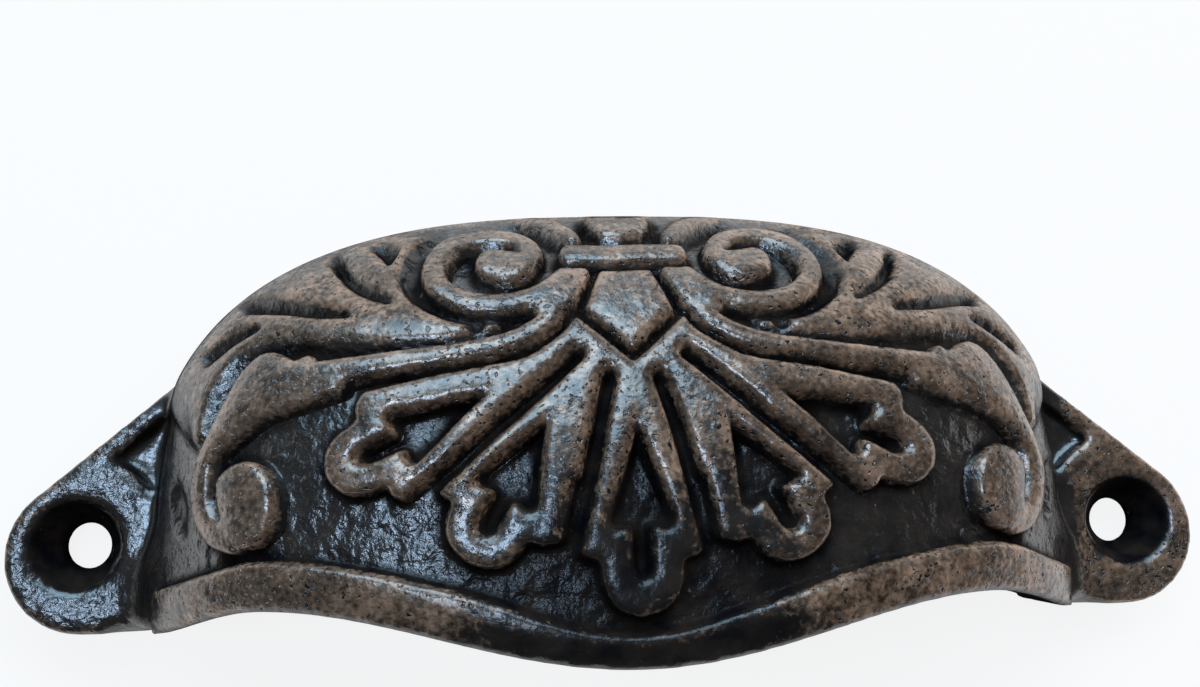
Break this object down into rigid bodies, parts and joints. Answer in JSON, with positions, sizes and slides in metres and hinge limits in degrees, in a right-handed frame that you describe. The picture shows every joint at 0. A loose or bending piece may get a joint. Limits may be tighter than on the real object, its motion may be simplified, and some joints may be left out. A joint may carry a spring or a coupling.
{
  "type": "cup pull",
  "caption": "Cast-iron cup pull with a half-dome finger cup, a wavy rolled lip, a relief of a petal fan, scrolls and leaves, and countersunk screw ears.",
  "frame": {"origin": "midway between the two screw holes, on the mounting face", "axes": "+X along the line of the screw holes, +Y towards the arched top edge so the fingers go in from -Y, +Z out of the drawer front"},
  "size_m": [0.0938, 0.0334, 0.0234],
  "materials": {
    "iron": "black lacquer in the recesses, rubbed to coppery brown on the ridges"
  },
  "bodies": {
    "root": {"cup_pull": "iron"}
  },
  "joints": []
}
